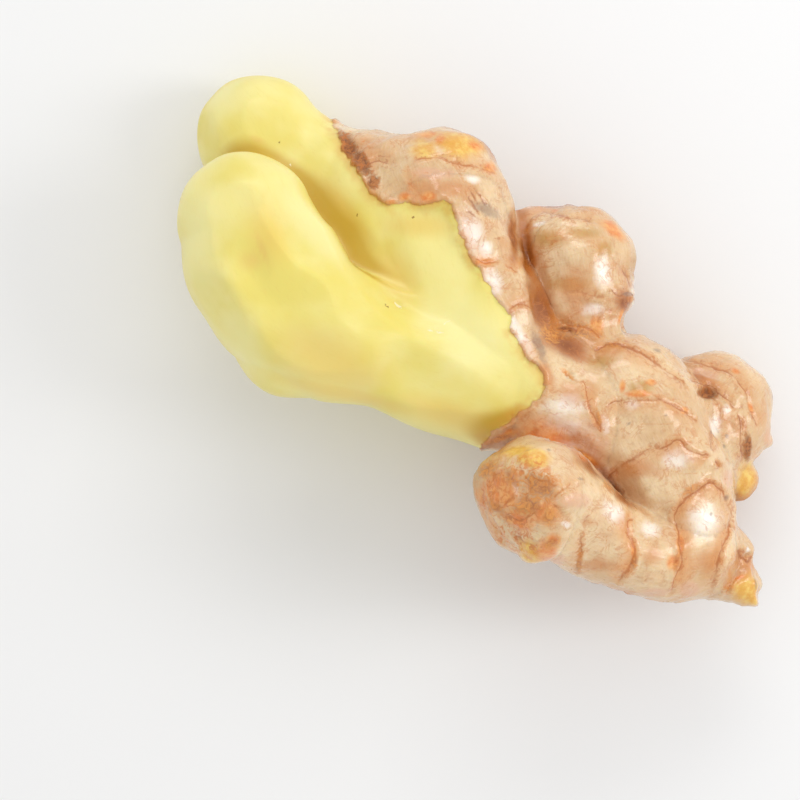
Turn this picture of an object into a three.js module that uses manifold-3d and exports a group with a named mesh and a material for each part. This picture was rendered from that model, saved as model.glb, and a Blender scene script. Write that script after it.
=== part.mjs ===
// A hand of ginger root, lying on its back as it would on a kitchen table.
// It grew as one piece: a mother piece in the middle, with fingers and knobs that grew out of it.
// The two fingers at the left and the front of the mother piece are peeled. The rest keeps its skin,
// with the ring scars that the scale leaves left behind.
//
// Millimetres, +Z up. The broad face of the hand looks up, and the table is the plane z = 0.
// Each lobe is a closed sweep: a three.js sphere whose rows are moved to stations along a curve.
import * as THREE from "three";
import { mergeVertices } from "three/addons/utils/BufferGeometryUtils.js";
import Module from "manifold-3d";

// Faces round a lobe of each size, and the rows that round off its end.
const SIDES = 28;
const SMALL_SIDES = 14;
const DOME_ROWS = 5;
// The longest step between two rows along a lobe.
const ROW_STEP = 6.5;

// A ring scar: a groove with a raised lip on its root side.
const GROOVE_DEPTH = 0.9;
const LIP_HEIGHT = 0.45;
const LIP_OFFSET = 1.1;
const RING_REACH = 3.0;
// How far a ring wanders along the lobe, as a share of the lobe's radius, how often it does so in
// one turn, and how fast the wander shifts along the lobe.
const RING_WANDER = 0.1;
const WANDER_TURNS = 3;
const WANDER_SHIFT = 5;

// The slow swelling that keeps a lobe from being perfectly round, and the share of it that peeling leaves.
const LUMP_HEIGHT = 0.7;
const PEELED_LUMP = 0.4;
const LUMP_LENGTH = 21;
// How much the swellings lean as they rise, and where they start.
const LUMP_LEAN = 0.5;
const LUMP_START = 1.3;

// How deep the table plane cuts into the three low points that the root rests on.
const FOOT_CUT = 0.6;
// The block that makes the cut is wider than the hand.
const CUT_WIDTH = 400;
const CUT_HEIGHT = 40;

// Points closer than this are one point when a geometry becomes a solid.
const MERGE_REACH = 1e-4;

// Each lobe's spine runs from its root inside the hand to its free end, as [x, y, height, radius].
// depth is thickness over width, tip is how far the end bulges over its radius, and rings are
// places along the spine, from 0 at the root to 1 at the free end. yaw and pitch lean the rings.
const LOBES = {
  mother: {
    spine: [
      [-9, 33, 31, 17],
      [-5, 18, 32, 17],
      [2, 2, 32, 17],
      [13, -12, 31, 17.5],
      [29.5, -21, 30, 19],
    ],
    depth: 1.0,
    tip: 0.8,
    rings: [0.1, 0.28, 0.47, 0.84],
  },
  top_stub: {
    spine: [
      [-7, 20, 31, 17],
      [-9.5, 34, 31, 18],
      [-14, 43.8, 30, 16.5],
    ],
    depth: 0.8,
    tip: 0.62,
    rings: [0.93],
  },
  web: {
    spine: [
      [-35, 41, 19.5, 14],
      [-23.5, 29.5, 23.5, 16.5],
      [-12, 12, 26, 17.5],
      [4, -6, 30, 18],
    ],
    depth: 0.95,
    tip: 0.8,
    rings: [],
  },
  back_finger: {
    spine: [
      [-12, 2, 28, 18],
      [-29, 13, 24, 18],
      [-43, 30, 19.5, 17.5],
      [-58.7, 55, 16.85, 17],
    ],
    depth: 1.0,
    tip: 1.0,
    rings: [],
  },
  front_finger: {
    spine: [
      [4, -11, 33, 18],
      [-14, -6.2, 38.5, 16.8],
      [-24, -2.6, 42, 16],
      [-34.5, 0.2, 45, 16.4],
      [-46.2, 6.3, 47, 19],
      [-56, 18.5, 47.5, 20.2],
      [-60.8, 30.8, 47, 17.7],
    ],
    depth: 0.95,
    tip: 1.0,
    rings: [],
  },
  finger_corner: {
    spine: [
      [-44, 8.5, 45, 13.2],
      [-49.5, -1.5, 44.5, 13.8],
    ],
    depth: 1.0,
    tip: 1.0,
    rings: [],
  },
  scar_knob: {
    spine: [
      [-16, 40, 29, 13],
      [-24.5, 44.8, 29, 9.8],
      [-31.5, 49.2, 29, 6.2],
    ],
    depth: 1.0,
    tip: 0.6,
    rings: [0.55],
    small: true,
  },
  round_knob: {
    spine: [
      [33, -10, 29, 14],
      [30, 1, 28, 11],
      [28, 10, 27, 14],
      [26.6, 20, 26, 15.3],
    ],
    depth: 1.0,
    tip: 1.0,
    rings: [0.36, 0.62, 0.9],
  },
  knob_root: {
    spine: [
      [4, 20, 23, 10],
      [14.5, 24.5, 24, 10],
      [24, 24.5, 25, 12],
    ],
    depth: 1.0,
    tip: 0.6,
    rings: [],
  },
  main_branch: {
    spine: [
      [31.5, -2.5, 28, 10.5],
      [36, -10.5, 30, 15.5],
      [43, -22.5, 31, 18.5],
      [50.5, -38, 30, 17],
      [55.5, -55, 29, 13.5],
    ],
    depth: 0.97,
    tip: 0.95,
    rings: [0.12, 0.34, 0.55, 0.76],
  },
  lower_finger: {
    spine: [
      [60, -56, 29, 12.5],
      [47, -56.5, 36, 11.7],
      [34.5, -53, 43, 11],
      [23, -45, 49, 13],
      [15.3, -40.8, 53.8, 14.6],
      [11, -42.8, 58.2, 14.6],
    ],
    depth: 1.0,
    tip: 0.45,
    rings: [0.16, 0.38, 0.62],
  },
  right_lobe: {
    spine: [
      [50, -33, 27, 15],
      [57, -26.5, 21, 16],
      [64.2, -19.2, 16.3, 16.4],
    ],
    depth: 0.98,
    tip: 0.95,
    rings: [0.5, 0.86],
  },
  under_stub: {
    spine: [
      [-2, -6, 30, 14],
      [-5, -11, 19, 12.5],
      [-7, -14, 10.5, 11.5],
    ],
    depth: 1.0,
    tip: 0.9,
    rings: [0.5, 0.85],
    up: [0, 1, 0],
  },
  small_knob: {
    spine: [
      [58, -58, 29, 10],
      [66, -62.5, 28, 7.5],
      [72, -65.5, 27, 5.2],
    ],
    depth: 1.0,
    tip: 0.75,
    rings: [0.6],
    small: true,
  },
  low_bud: {
    spine: [
      [63, -52, 28, 6],
      [70, -56.5, 28, 3.8],
    ],
    depth: 1.0,
    tip: 1.0,
    rings: [],
    small: true,
  },
  side_bud: {
    spine: [
      [64, -33, 22, 6.5],
      [71, -37.5, 20, 4.8],
    ],
    depth: 1.0,
    tip: 1.0,
    rings: [],
    small: true,
  },
};

// The edge of the peeled part, seen from above, from the back of the hand to the front.
// What lies to its left is peeled.
const PEEL_EDGE = [
  [-36, 60],
  [-34, 50],
  [-28, 36],
  [-17, 35],
  [-6, 36],
  [-3, 24],
  [4, 12],
  [10, 0],
  [17, -10],
  [12, -18],
  [3, -27],
  [-2, -40],
];
// The skin's relief fades out over this distance from the edge.
const PEEL_FADE = 2.5;

// A number from 0 to 1 that is 0 in the peeled part and 1 under the skin.
function skinAt(x, y) {
  let nearest = Infinity;
  let side = 1;
  for (let i = 0; i + 1 < PEEL_EDGE.length; i++) {
    const [ax, ay] = PEEL_EDGE[i];
    const [dx, dy] = [PEEL_EDGE[i + 1][0] - ax, PEEL_EDGE[i + 1][1] - ay];
    const along = THREE.MathUtils.clamp(((x - ax) * dx + (y - ay) * dy) / (dx * dx + dy * dy), 0, 1);
    const away = Math.hypot(x - ax - along * dx, y - ay - along * dy);
    if (away < nearest) {
      nearest = away;
      side = Math.sign((y - ay) * dx - (x - ax) * dy);
    }
  }
  return THREE.MathUtils.smoothstep(side * nearest, 0, PEEL_FADE);
}

// Low, wide swellings, the same for every lobe, as a sum of waves across the hand.
function lumpAt(x, y, z) {
  const k = (2 * Math.PI) / LUMP_LENGTH;
  return LUMP_HEIGHT * Math.sin(k * (x + LUMP_LEAN * z)) * Math.sin(k * (y - LUMP_LEAN * z) + LUMP_START);
}

// The height of a ring scar's relief at a distance past it towards the free end.
function ringRelief(past) {
  const near = Math.max(0, 1 - Math.abs(past) / RING_REACH);
  const lip = Math.max(0, 1 - Math.abs(past + LIP_OFFSET) / LIP_OFFSET);
  return LIP_HEIGHT * lip - GROOVE_DEPTH * near * near;
}

// A lobe's spine as a curve, with its radius and its cross directions at any place along it.
function spineOf(lobe) {
  const curve = new THREE.CatmullRomCurve3(lobe.spine.map(([x, y, z]) => new THREE.Vector3(x, y, z)));
  const radii = new THREE.CatmullRomCurve3(lobe.spine.map(([, , , r], i) => new THREE.Vector3(i, r, 0)));
  const up = new THREE.Vector3(...(lobe.up ?? [0, 0, 1]));
  return {
    length: curve.getLength(),
    at(share) {
      const t = curve.getUtoTmapping(share);
      const along = curve.getTangent(t);
      const across = new THREE.Vector3().crossVectors(along, up).normalize();
      const over = new THREE.Vector3().crossVectors(across, along);
      return { centre: curve.getPoint(t), along, across, over, radius: radii.getPoint(t).y };
    },
  };
}

// The rows of a lobe: closely spaced at each ring scar, and over the dome of each end.
// A row says where it lies along the spine, and how far it has gone round the dome.
function rowsOf(lobe, length) {
  const shares = new Set([0, 1]);
  const steps = Math.ceil(length / ROW_STEP);
  for (let i = 1; i < steps; i++) shares.add(i / steps);
  const places = [...shares].filter((s) => lobe.rings.every((r) => Math.abs(s - r) * length > RING_REACH));
  for (const ring of lobe.rings) {
    for (const past of [-RING_REACH, -LIP_OFFSET, 0, RING_REACH]) places.push(ring + past / length);
  }
  const body = places.filter((s) => s >= 0 && s <= 1).sort((a, b) => a - b);
  const dome = Array.from({ length: DOME_ROWS }, (_, i) => ((i + 1) / DOME_ROWS) * (Math.PI / 2));
  return [
    ...dome.toReversed().map((turn) => ({ share: 0, turn: -turn })),
    ...body.map((share) => ({ share, turn: 0 })),
    ...dome.map((turn) => ({ share: 1, turn })),
  ];
}

// One lobe as a closed geometry: the rows of a sphere, moved to the stations of its spine.
function lobeGeometry(lobe) {
  const spine = spineOf(lobe);
  const rows = rowsOf(lobe, spine.length);
  const sides = lobe.small ? SMALL_SIDES : SIDES;
  const geometry = new THREE.SphereGeometry(1, sides, rows.length - 1);
  const position = geometry.getAttribute("position");
  const point = new THREE.Vector3();
  rows.forEach(({ share, turn }, row) => {
    const { centre, along, across, over, radius } = spine.at(share);
    for (let side = 0; side <= sides; side++) {
      const angle = (side / sides) * 2 * Math.PI;
      const wide = radius * Math.cos(turn);
      point
        .copy(centre)
        .addScaledVector(across, wide * Math.cos(angle))
        .addScaledVector(over, wide * lobe.depth * Math.sin(angle))
        .addScaledVector(along, radius * lobe.tip * Math.sin(turn));
      const skin = skinAt(point.x, point.y);
      const rings = lobe.rings.reduce((sum, ring) => sum + ringRelief((share - ring) * spine.length), 0);
      const sway = Math.sin(WANDER_TURNS * angle + WANDER_SHIFT * share);
      const wander = turn ? 0 : RING_WANDER * radius * sway;
      const lump = lumpAt(point.x, point.y, point.z) * THREE.MathUtils.lerp(PEELED_LUMP, 1, skin);
      const relief = (skin * rings + lump) * Math.cos(turn);
      point
        .addScaledVector(across, relief * Math.cos(angle))
        .addScaledVector(over, relief * Math.sin(angle))
        .addScaledVector(along, wander * skin);
      position.setXYZ(row * (sides + 1) + side, point.x, point.y, point.z);
    }
  });
  return geometry;
}

const wasm = await Module();
wasm.setup();

// A closed geometry as a solid that can be joined and cut.
function solidOf(geometry) {
  geometry.deleteAttribute("normal");
  geometry.deleteAttribute("uv");
  const merged = mergeVertices(geometry, MERGE_REACH);
  return new wasm.Manifold(
    new wasm.Mesh({
      numProp: 3,
      vertProperties: merged.getAttribute("position").array,
      triVerts: new Uint32Array(merged.index.array),
    }),
  );
}

// A solid as a geometry again.
function geometryOf(solid) {
  const mesh = solid.getMesh();
  const geometry = new THREE.BufferGeometry();
  geometry.setAttribute("position", new THREE.BufferAttribute(mesh.vertProperties, 3));
  geometry.setIndex(new THREE.BufferAttribute(mesh.triVerts, 1));
  return geometry;
}

// All lobes joined, set down on the table and cut flat where they touch it.
function rootGeometry() {
  const hand = Object.values(LOBES)
    .map((lobe) => solidOf(lobeGeometry(lobe)))
    .reduce((joined, lobe) => joined.add(lobe));
  const { min, max } = hand.boundingBox();
  const standing = hand.translate([-(min[0] + max[0]) / 2, -(min[1] + max[1]) / 2, -min[2] - FOOT_CUT]);
  const below = new THREE.BoxGeometry(CUT_WIDTH, CUT_WIDTH, CUT_HEIGHT).translate(0, 0, -CUT_HEIGHT / 2);
  return geometryOf(standing.subtract(solidOf(below)));
}

const skin = new THREE.MeshStandardMaterial({ color: 0xdcb183, roughness: 0.45, metalness: 0 });
const root = new THREE.Mesh(rootGeometry(), skin);
root.name = "ginger_root";

const ginger = new THREE.Group();
ginger.add(root);
export default ginger;
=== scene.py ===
import math

import bmesh
import bpy
import numpy as np
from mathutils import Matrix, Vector
from mathutils.bvhtree import BVHTree


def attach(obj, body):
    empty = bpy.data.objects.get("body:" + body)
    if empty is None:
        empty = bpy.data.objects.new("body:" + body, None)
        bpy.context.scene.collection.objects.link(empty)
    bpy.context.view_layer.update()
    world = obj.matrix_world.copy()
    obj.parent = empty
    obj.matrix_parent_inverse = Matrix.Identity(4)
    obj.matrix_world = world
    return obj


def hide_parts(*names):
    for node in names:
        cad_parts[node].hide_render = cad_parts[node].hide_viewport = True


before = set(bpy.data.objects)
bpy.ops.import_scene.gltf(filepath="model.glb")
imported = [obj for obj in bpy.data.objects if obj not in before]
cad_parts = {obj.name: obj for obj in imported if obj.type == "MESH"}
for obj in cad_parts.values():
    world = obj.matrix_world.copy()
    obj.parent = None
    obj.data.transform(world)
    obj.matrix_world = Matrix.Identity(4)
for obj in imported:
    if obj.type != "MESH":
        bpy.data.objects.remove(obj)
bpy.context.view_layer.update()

# Shape is worked out in millimetres and becomes metres when the mesh is written.
MM = 0.001
RNG = np.random.default_rng(11)

# The camera looks straight down. PIXEL is what one pixel of the 800 pixel wide picture spans at the
# hand's middle height.
PICTURE = 800
PIXEL = 0.265
CAMERA = np.array([-21.3, -16.7, 732.0])
MIDDLE_HEIGHT = 32.0
SENSOR = 36.0

# The frame's origin is the middle of the hand's box at the table, this far from the spines' origin.
HAND_SHIFT = np.array([-0.688, -0.686, -0.650])

# Each lobe's spine runs from its root inside the hand to its free end, as [x, y, height, radius] in
# millimetres. depth is thickness over width, tip is how far the end bulges over its radius, and rings
# are places along the spine, from 0 at the root to 1 at the free end, for the side that the picture
# doesn't show.
LOBES = {
    "mother": dict(
        spine=[
            [-9, 33, 31, 17], [-5, 18, 32, 17], [2, 2, 32, 17], [13, -12, 31, 17.5], [29.5, -21, 30, 19],
        ],
        depth=1.0, tip=0.8, rings=[0.1, 0.28, 0.47, 0.66, 0.84],
    ),
    "top_stub": dict(
        spine=[[-7, 20, 31, 17], [-9.5, 34, 31, 18], [-14, 43.8, 30, 16.5]],
        depth=0.8, tip=0.62, rings=[0.6, 0.93],
    ),
    "web": dict(
        spine=[[-35, 41, 19.5, 14], [-23.5, 29.5, 23.5, 16.5], [-12, 12, 26, 17.5], [4, -6, 30, 18]],
        depth=0.95, tip=0.8, rings=[],
    ),
    "back_finger": dict(
        spine=[[-12, 2, 28, 18], [-29, 13, 24, 18], [-43, 30, 19.5, 17.5], [-58.7, 55, 16.85, 17]],
        depth=1.0, tip=1.0, rings=[],
    ),
    "front_finger": dict(
        spine=[
            [4, -11, 33, 18], [-14, -6.2, 38.5, 16.8], [-24, -2.6, 42, 16], [-34.5, 0.2, 45, 16.4],
            [-46.2, 6.3, 47, 19], [-56, 18.5, 47.5, 20.2], [-60.8, 30.8, 47, 17.7],
        ],
        depth=0.95, tip=1.0, rings=[],
    ),
    "finger_corner": dict(
        spine=[[-44, 8.5, 45, 13.2], [-49.5, -1.5, 44.5, 13.8]],
        depth=1.0, tip=1.0, rings=[],
    ),
    "scar_knob": dict(
        spine=[[-16, 40, 29, 13], [-24.5, 44.8, 29, 9.8], [-31.5, 49.2, 29, 6.2]],
        depth=1.0, tip=0.6, rings=[0.55],
    ),
    "round_knob": dict(
        spine=[[33, -10, 29, 14], [30, 1, 28, 11], [28, 10, 27, 14], [26.6, 20, 26, 15.3]],
        depth=1.0, tip=1.0, rings=[0.36, 0.62, 0.9],
    ),
    "knob_root": dict(
        spine=[[4, 20, 23, 10], [14.5, 24.5, 24, 10], [24, 24.5, 25, 12]],
        depth=1.0, tip=0.6, rings=[],
    ),
    "main_branch": dict(
        spine=[
            [31.5, -2.5, 28, 10.5], [36, -10.5, 30, 15.5], [43, -22.5, 31, 18.5],
            [50.5, -38, 30, 17], [55.5, -55, 29, 13.5],
        ],
        depth=0.97, tip=0.95, rings=[0.12, 0.34, 0.55, 0.76],
    ),
    "lower_finger": dict(
        spine=[
            [60, -56, 29, 12.5], [47, -56.5, 36, 11.7], [34.5, -53, 43, 11],
            [23, -45, 49, 13], [15.3, -40.8, 53.8, 14.6], [11, -42.8, 58.2, 14.6],
        ],
        depth=1.0, tip=0.45, rings=[0.16, 0.38, 0.62],
    ),
    "right_lobe": dict(
        spine=[[50, -33, 27, 15], [57, -26.5, 21, 16], [64.2, -19.2, 16.3, 16.4]],
        depth=0.98, tip=0.95, rings=[0.5, 0.7, 0.86],
    ),
    "under_stub": dict(
        spine=[[-2, -6, 30, 14], [-5, -11, 19, 12.5], [-7, -14, 10.5, 11.5]],
        depth=1.0, tip=0.9, rings=[0.5, 0.85], up=(0, 1, 0),
    ),
    "small_knob": dict(
        spine=[[58, -58, 29, 10], [66, -62.5, 28, 7.5], [72, -65.5, 27, 5.2]],
        depth=1.0, tip=0.75, rings=[0.6],
    ),
    "low_bud": dict(spine=[[63, -52, 28, 6], [70, -56.5, 28, 3.8]], depth=1.0, tip=1.0, rings=[]),
    "side_bud": dict(spine=[[64, -33, 22, 6.5], [71, -37.5, 20, 4.8]], depth=1.0, tip=1.0, rings=[]),
}
# Lobes that keep their skin wherever they reach.
SKINNED = ["lower_finger", "scar_knob", "round_knob", "right_lobe", "small_knob"]

# The edge of the peeled part in the picture, from the back of the hand to the front. What lies to the
# right of someone walking along it is peeled.
PEEL_EDGE = [
    (325, 90), (334, 128), (347, 157), (358, 172), (366, 186), (378, 199), (392, 205), (410, 202),
    (425, 205), (440, 201), (451, 206), (456, 222), (461, 240), (470, 256), (479, 268), (488, 286),
    (497, 300), (508, 312), (511, 330), (519, 345), (530, 361), (541, 373), (545, 387), (538, 400),
    (523, 410), (508, 420), (494, 430), (484, 440), (474, 460), (469, 489),
]

# Lines on the skin in the picture. Someone walking along a line has the newer growth on the right.
# The first number is how strong the line is, the second how orange it is, from 0 for dark brown to 1.
LINES = {
    "knob crown": (0.6, 0.4, [
        (594, 223), (580, 219), (562, 218), (548, 214), (538, 216), (528, 224), (521, 236),
    ]),
    "knob brow": (0.45, 0.7, [(602, 252), (590, 242), (575, 238), (560, 240), (548, 246)]),
    "knob side": (0.5, 0.3, [(630, 290), (628, 280), (621, 266), (610, 258)]),
    "knob waist": (0.9, 0.1, [(633, 297), (626, 292), (618, 297), (609, 289)]),
    "knob fold": (0.45, 0.4, [(613, 303), (604, 300), (590, 295), (575, 292), (562, 294)]),
    "knob hook": (0.7, 0.5, [(611, 311), (603, 312), (598, 318), (597, 324)]),
    "neck rust": (0.7, 0.7, [(601, 338), (590, 331), (576, 326), (560, 325), (548, 329)]),
    "neck ring": (0.85, 0.45, [
        (592, 353), (600, 349), (609, 345), (621, 345), (633, 351), (645, 357), (658, 364), (670, 372),
        (679, 381), (686, 392),
    ]),
    "branch ring": (0.7, 0.5, [
        (606, 408), (613, 403), (621, 401), (635, 400), (650, 400), (665, 402), (675, 408), (684, 412),
        (691, 416), (698, 424), (704, 432),
    ]),
    "mother lip": (0.8, 0.6, [(600, 442), (599, 427), (594, 416), (589, 405), (586, 392), (580, 379)]),
    "mother stain": (0.45, 0.9, [(597, 434), (590, 445), (584, 458)]),
    "third ring": (0.8, 0.5, [
        (606, 480), (612, 472), (620, 467), (632, 460), (640, 455), (650, 450), (662, 448), (670, 443),
        (677, 440), (683, 446), (690, 452), (698, 456), (706, 455), (714, 458),
    ]),
    "arch": (1.0, 0.55, [
        (668, 593), (672, 582), (675, 574), (681, 567), (681, 556), (679, 545), (678, 535), (676, 524),
        (675, 515), (678, 507), (684, 500), (690, 496), (698, 491), (704, 486), (710, 483), (716, 486),
        (721, 491), (725, 498), (727, 507), (729, 518), (728, 528), (726, 537), (723, 545), (720, 555),
        (717, 565), (714, 576), (712, 590),
    ]),
    "finger ring": (1.0, 0.75, [
        (634, 518), (627, 523), (627, 532), (631, 541), (633, 551), (631, 561), (627, 569), (621, 577),
        (615, 584),
    ]),
    "finger comb": (0.6, 0.7, [(577, 524), (580, 532), (581, 541), (580, 550), (579, 559), (576, 570)]),
    "patch rim": (0.6, 0.55, [(552, 503), (563, 514), (571, 522), (580, 524), (588, 514)]),
    "patch brow": (0.5, 0.6, [(580, 490), (570, 488), (560, 491), (553, 497)]),
    "face whorl": (0.7, 0.9, [
        (503, 471), (513, 477), (517, 489), (511, 501), (502, 505), (494, 498), (491, 486), (495, 475),
        (503, 471),
    ]),
    "face fold": (0.6, 0.7, [(530, 474), (538, 480), (547, 482), (555, 488)]),
    "face flake": (0.7, 0.8, [(519, 467), (526, 477), (529, 489), (525, 501)]),
    "face ridge": (0.7, 0.7, [(507, 513), (517, 518), (528, 516), (539, 509)]),
    "face brow": (0.5, 0.9, [(486, 474), (492, 464), (503, 457), (517, 453)]),
    "face edge": (0.6, 0.9, [(483, 486), (485, 499), (492, 514), (501, 529), (508, 545)]),
    "face step": (0.6, 0.6, [(513, 533), (523, 539), (535, 540), (547, 535), (557, 527)]),
    "finger whorl": (0.45, 0.4, [(646, 583), (647, 575), (654, 571), (661, 574), (663, 582)]),
    "lobe outer": (0.75, 0.45, [
        (755, 428), (753, 418), (750, 410), (747, 400), (743, 391), (738, 383), (733, 377), (726, 372),
        (718, 369), (705, 366), (690, 364), (679, 361),
    ]),
    "lobe inner": (1.0, 0.25, [
        (741, 460), (739, 445), (739, 430), (738, 420), (735, 411), (731, 405), (727, 400), (721, 395),
        (715, 390), (708, 387), (699, 385), (689, 382),
    ]),
    "lobe spur": (0.8, 0.1, [(735, 412), (740, 408), (744, 403)]),
    "lobe root": (0.8, 0.3, [(717, 470), (713, 461), (710, 450), (709, 440), (707, 431), (701, 424)]),
    "lobe crease": (0.4, 0.4, [(722, 428), (719, 412), (712, 400)]),
    "stub rim": (0.55, 0.6, [
        (494, 179), (486, 172), (475, 168), (462, 165), (450, 161), (438, 158), (424, 159), (411, 164),
    ]),
    "scar line": (0.7, 0.3, [(398, 163), (388, 164), (378, 161), (369, 166)]),
    "stub seam": (0.4, 0.9, [(422, 194), (413, 186), (408, 175), (410, 163)]),
    "flap": (0.6, 0.2, [(467, 211), (474, 216), (482, 220)]),
    "strip seam": (0.7, 0.3, [(503, 261), (499, 250), (496, 237)]),
    "strip ring": (0.8, 0.7, [(517, 274), (508, 268), (500, 262), (490, 262), (482, 263), (474, 259)]),
    "strip fold": (0.6, 0.5, [(531, 309), (524, 306), (515, 306), (506, 309)]),
    "strip crease": (0.5, 0.3, [(546, 364), (540, 352), (533, 340), (531, 329)]),
    "bud lip": (1.0, 0.4, [(738, 549), (742, 557), (748, 561), (754, 557)]),
    "small ring": (0.7, 0.9, [(726, 595), (728, 584), (733, 574)]),
    "tuft one": (0.7, 0.2, [(467, 187), (473, 196), (479, 206)]),
    "tuft two": (0.7, 0.2, [(471, 186), (479, 196), (487, 205)]),
    "tuft three": (0.7, 0.25, [(467, 196), (474, 206), (479, 216)]),
}
# How far a line's colour and relief reach to each side, in the picture's pixels.
LINE_REACH = 34

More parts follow.
